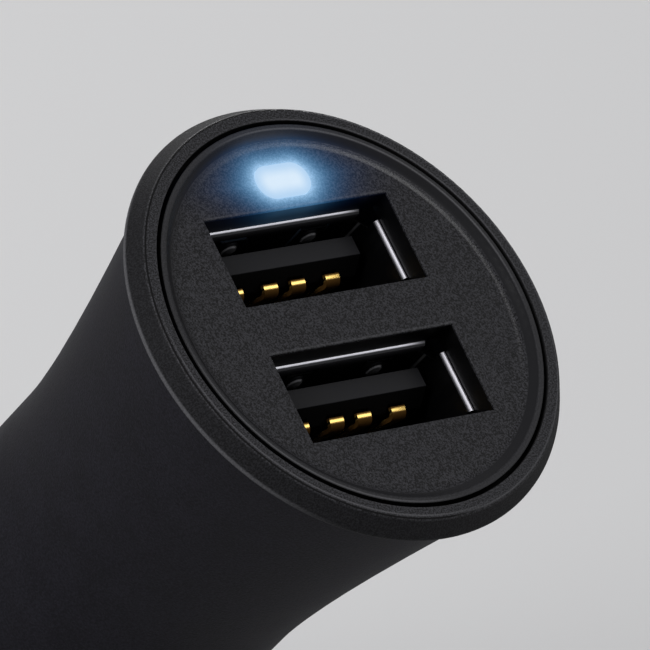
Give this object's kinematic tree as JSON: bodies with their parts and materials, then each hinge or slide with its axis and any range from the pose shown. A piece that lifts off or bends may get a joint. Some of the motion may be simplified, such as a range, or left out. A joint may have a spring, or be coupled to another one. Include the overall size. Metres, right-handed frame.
{
  "type": "car usb charger plug",
  "caption": "Black flared plug for a vehicle's 12 volt socket, with USB-A sockets and an indicator light in its round face, sprung side contacts and a sprung tip.",
  "frame": {"origin": "on the plug's axis, at the top of the barrel's guide stretch, where the flared head begins", "axes": "+Z along the plug's axis, out of the vehicle's socket; +Y towards the light window on the face; +X across the sockets"},
  "size_m": [0.0276, 0.0276, 0.062],
  "materials": {
    "face_plastic": "fine grained moulded",
    "ring_plastic": "fine grained front, satin side",
    "body_plastic": "soft matt",
    "nose_plastic": "satin",
    "light_lens": "milky, lit pale blue",
    "plated_tip": "nickel plated",
    "spring_steel": "bright wire",
    "side_spring_steel": "bright rolled strip",
    "terminal_brass": "bright stamped",
    "lead_sleeve": "matt sleeve",
    "shell_steel": "nickel plated sheet",
    "insert_plastic": "smooth moulded",
    "contact_gilt": "gilt",
    "board_laminate": "green solder resist",
    "led_resin": "clear resin",
    "tinned_leg": "tinned",
    "ferrite": "sintered",
    "copper_winding": "enamelled wire",
    "capacitor_can": "bright can",
    "chip_resin": "moulded resin",
    "small_ceramic": "fired ceramic"
  },
  "bodies": {
    "housing": {"front_plate": "face_plastic", "light_window": "light_lens", "bezel_ring": "ring_plastic", "body_shell": "body_plastic", "nose_cap": "nose_plastic", "tip_spring": "spring_steel", "tip_terminal": "terminal_brass", "ground_leads": "lead_sleeve", "usb_shell_upper": "shell_steel", "usb_shell_lower": "shell_steel", "usb_insert_upper": "insert_plastic", "usb_insert_lower": "insert_plastic", "usb_contacts_upper": "contact_gilt", "usb_contacts_lower": "contact_gilt", "port_board": "board_laminate", "main_board": "board_laminate", "status_led": "led_resin", "led_legs": "tinned_leg", "inductor_core": "ferrite", "inductor_winding": "copper_winding", "input_capacitor": "capacitor_can", "output_capacitor": "capacitor_can", "controller_chip": "chip_resin", "chip_legs": "tinned_leg", "rectifier_diode": "chip_resin", "board_fuse": "small_ceramic", "chip_parts": "small_ceramic"},
    "tip": {"tip_contact": "plated_tip"},
    "left_spring": {"ground_spring_left": "side_spring_steel"},
    "right_spring": {"ground_spring_right": "side_spring_steel"}
  },
  "joints": [
    {"name": "tip_press", "type": "slide", "parent": "housing", "child": "tip", "axis": [0, 0, 1], "range_m": [0, 0.003], "stiffness_N_per_m": 800, "springref_m": -0.0015, "deforming": ["tip_spring"]},
    {"name": "left_spring_press", "type": "hinge", "parent": "housing", "child": "left_spring", "pos_m": [-0.00741, 0, -0.02205], "axis": [0, 1, 0], "range_deg": [0, 11.5], "stiffness_Nm_per_rad": 0.08, "springref_deg": -2.86},
    {"name": "right_spring_press", "type": "hinge", "parent": "housing", "child": "right_spring", "pos_m": [0.00741, 0, -0.02205], "axis": [0, -1, 0], "range_deg": [0, 11.5], "stiffness_Nm_per_rad": 0.08, "springref_deg": -2.86}
  ]
}
